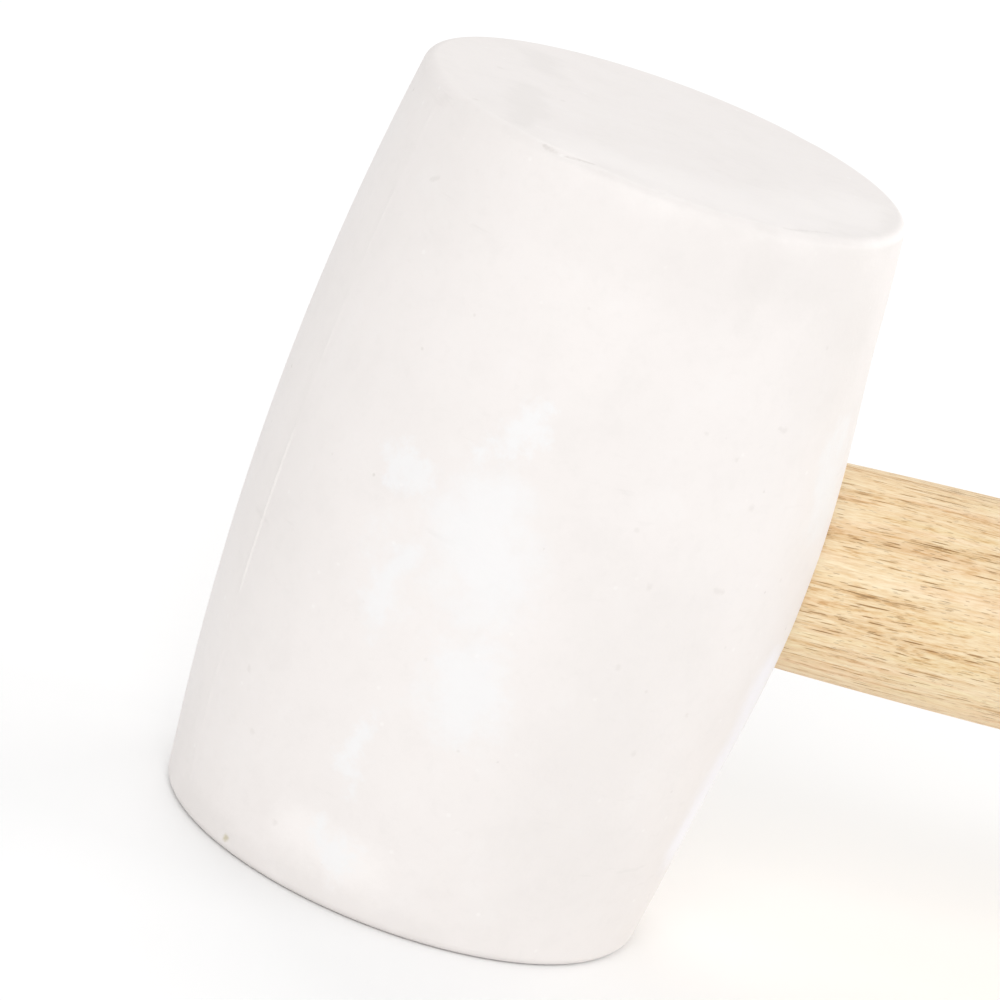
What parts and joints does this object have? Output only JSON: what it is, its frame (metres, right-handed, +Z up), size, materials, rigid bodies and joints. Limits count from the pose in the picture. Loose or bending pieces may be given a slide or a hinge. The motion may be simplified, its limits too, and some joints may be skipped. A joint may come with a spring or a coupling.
{
  "type": "rubber mallet",
  "caption": "Rubber mallet: a barrel-shaped off-white rubber head, flat at both ends, on a turned hardwood handle held in a blind socket by wedges.",
  "frame": {"origin": "centre of the lower striking face, which the mallet stands on", "axes": "+Z up the head's axis to the upper striking face, +X along the handle towards its butt, +Y across the head"},
  "size_m": [0.3554, 0.0888, 0.127],
  "materials": {
    "rubber": "satin",
    "handle_wood": "satin",
    "wedge_wood": "matte",
    "steel": "matte"
  },
  "bodies": {
    "root": {"mallet_head": "rubber", "handle": "handle_wood", "wood_wedge": "wedge_wood", "steel_wedge": "steel"}
  },
  "joints": []
}
